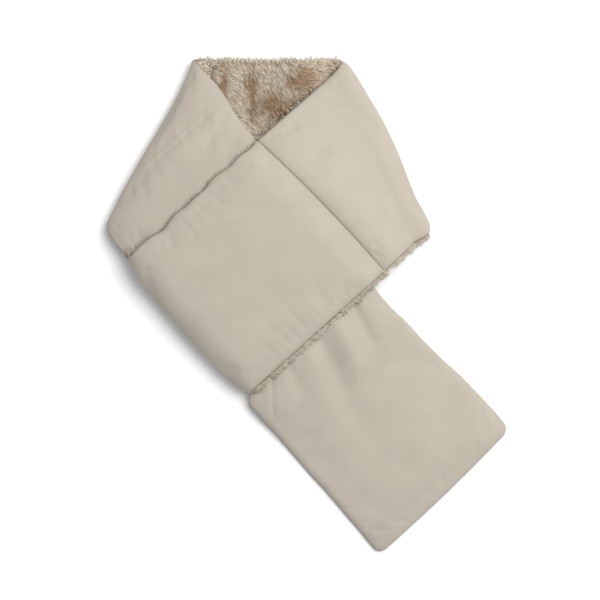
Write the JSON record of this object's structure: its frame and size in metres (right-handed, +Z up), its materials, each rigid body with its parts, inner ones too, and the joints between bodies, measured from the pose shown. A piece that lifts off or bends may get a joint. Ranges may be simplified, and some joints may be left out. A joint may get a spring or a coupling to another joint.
{
  "type": "pull-through scarf",
  "caption": "Padded plush-lined neck warmer lying flat: one wide strip folded over at both sides of the neck, its tail drawn through a stitched sleeve.",
  "frame": {"origin": "on the ground, in the middle of the laid-out scarf's outline", "axes": "+Z up from the ground; +X to the right along the neck panel's top edge; +Y towards that edge, so the tail's end is at -Y"},
  "size_m": [0.3638, 0.4476, 0.0445],
  "materials": {
    "shell_fabric": "matte",
    "wadding": "matte",
    "plush_lining": "matte",
    "sewing_thread": "matte"
  },
  "bodies": {
    "collar": {"neck_shell": "shell_fabric", "neck_wadding": "wadding", "neck_plush": "plush_lining", "right_fold_shell": "shell_fabric", "right_fold_wadding": "wadding", "right_fold_plush": "plush_lining", "right_arm_shell": "shell_fabric", "right_arm_wadding": "wadding", "right_arm_plush": "plush_lining", "sleeve_front_shell": "shell_fabric", "sleeve_front_wadding": "wadding", "sleeve_front_plush": "plush_lining", "sleeve_fold_shell": "shell_fabric", "sleeve_fold_wadding": "wadding", "sleeve_fold_plush": "plush_lining", "sleeve_back_shell": "shell_fabric", "sleeve_back_wadding": "wadding", "sleeve_back_plush": "plush_lining", "sleeve_topstitch": "sewing_thread", "left_fold_shell": "shell_fabric", "left_fold_wadding": "wadding", "left_fold_plush": "plush_lining"},
    "tail": {"left_arm_shell": "shell_fabric", "left_arm_wadding": "wadding", "left_arm_plush": "plush_lining", "left_arm_seam_thread": "sewing_thread"},
    "tail_end": {"tail_end_shell": "shell_fabric", "tail_end_wadding": "wadding", "tail_end_plush": "plush_lining"}
  },
  "joints": [
    {"name": "tail_pull", "type": "slide", "parent": "collar", "child": "tail", "axis": [0.6534, -0.757, 0], "range_m": [-0.02, 0.03], "deforming": ["left_fold_shell", "left_fold_wadding", "left_fold_plush"]},
    {"name": "tail_lift", "type": "hinge", "parent": "tail", "child": "tail_end", "pos_m": [0.02402, -0.0526, 0.02062], "axis": [-0.7563, -0.6528, -0.0436], "range_deg": [0, 90]}
  ]
}
